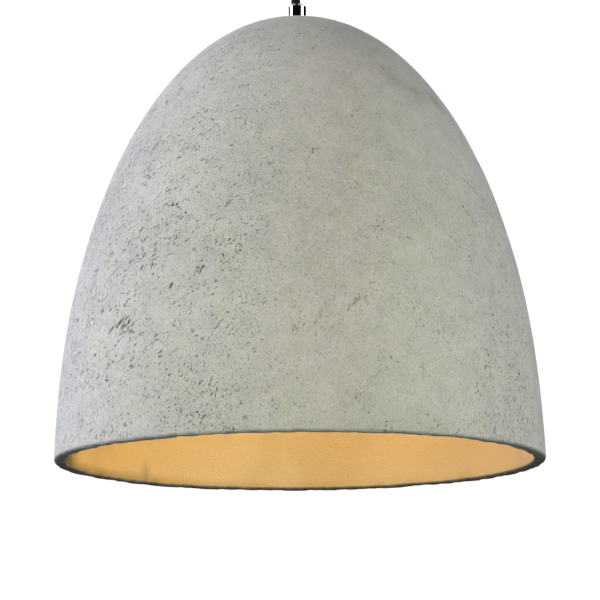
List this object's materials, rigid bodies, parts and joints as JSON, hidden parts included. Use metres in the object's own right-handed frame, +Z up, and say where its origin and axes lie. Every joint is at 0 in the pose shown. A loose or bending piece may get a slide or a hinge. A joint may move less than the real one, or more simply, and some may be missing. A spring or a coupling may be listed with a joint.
{
  "type": "pendant ceiling light",
  "caption": "Pendant ceiling light with a bell-shaped cast concrete shade, chrome cord grip, black flex, ceiling rose, screw lampholder and opal bulb.",
  "frame": {"origin": "middle of the bracket's top face, where it meets the ceiling", "axes": "+Z up, along the hanging flex; +X along the bracket, towards its earth screw; -Y towards the viewer"},
  "size_m": [0.3997, 0.3998, 0.58],
  "materials": {
    "concrete": "rough",
    "chrome": "polished",
    "black_braid": "woven",
    "zinc_steel": "satin",
    "brass": "satin",
    "black_rubber": "matte",
    "black_plastic": "satin",
    "ivory_nylon": "matte",
    "black_enamel": "satin",
    "porcelain": "glazed",
    "brown_insulation": "matte",
    "blue_insulation": "matte",
    "earth_insulation": "matte",
    "nickel": "satin",
    "black_glass": "glossy",
    "white_housing": "satin",
    "led_board": "matte",
    "led_phosphor": "satin",
    "driver_board": "satin",
    "opal_dome": "satin"
  },
  "bodies": {
    "ceiling_rose": {"ceiling_bracket": "zinc_steel", "canopy_cup": "chrome", "canopy_screws": "chrome", "terminal_block": "ivory_nylon", "terminal_sleeves": "brass", "terminal_screws": "zinc_steel", "block_screws": "zinc_steel", "earth_screw": "brass", "earth_lug": "nickel", "earth_link": "earth_insulation", "canopy_gland": "black_plastic", "gland_nut": "black_plastic", "cord_collar": "ivory_nylon", "collar_screw": "zinc_steel", "cord_tail": "black_braid", "supply_live_wire": "brown_insulation", "supply_neutral_wire": "blue_insulation", "supply_earth_wire": "earth_insulation"},
    "flex_stub": {"cord_stub": "black_braid"},
    "pendant": {"cord": "black_braid", "cord_grip": "chrome", "grip_screw": "zinc_steel", "nipple": "zinc_steel", "shade": "concrete", "rubber_washer": "black_rubber", "steel_washer": "zinc_steel", "lock_washer": "zinc_steel", "nipple_nut": "zinc_steel", "holder_cap": "black_enamel", "cap_grub_screw": "zinc_steel", "holder_earth_screw": "brass", "holder_insert": "porcelain", "holder_terminals": "brass", "holder_terminal_screws": "zinc_steel", "centre_contact": "brass", "side_contact": "brass", "thread_sleeve": "brass", "holder_skirt": "black_enamel", "live_wire": "brown_insulation", "neutral_wire": "blue_insulation", "earth_wire": "earth_insulation"},
    "bulb_tip": {"bulb_contact": "nickel"},
    "bulb": {"bulb_insulator": "black_glass", "bulb_cap": "nickel", "bulb_housing": "white_housing", "bulb_led_board": "led_board", "bulb_leds": "led_phosphor", "bulb_driver": "driver_board", "bulb_diffuser": "opal_dome"}
  },
  "joints": [
    {"name": "pendant_swivel", "type": "hinge", "parent": "ceiling_rose", "child": "flex_stub", "pos_m": [0, 0, -0.028], "axis": [0, 0, 1], "range_deg": [-180, 180]},
    {"name": "pendant_swing", "type": "hinge", "parent": "flex_stub", "child": "pendant", "pos_m": [0, 0, -0.028], "axis": [0, 1, 0], "range_deg": [-20, 20]},
    {"name": "bulb_travel", "type": "slide", "parent": "pendant", "child": "bulb_tip", "axis": [0, 0, -1], "range_m": [0, 0.01816]},
    {"name": "bulb_turn", "type": "hinge", "parent": "bulb_tip", "child": "bulb", "pos_m": [0, 0, -0.3], "axis": [0, 0, -1], "range_deg": [0, 1800]}
  ],
  "couplings": [
    {"joint": "bulb_travel", "follows": "bulb_turn", "m_per_rad": 0.00057757}
  ]
}
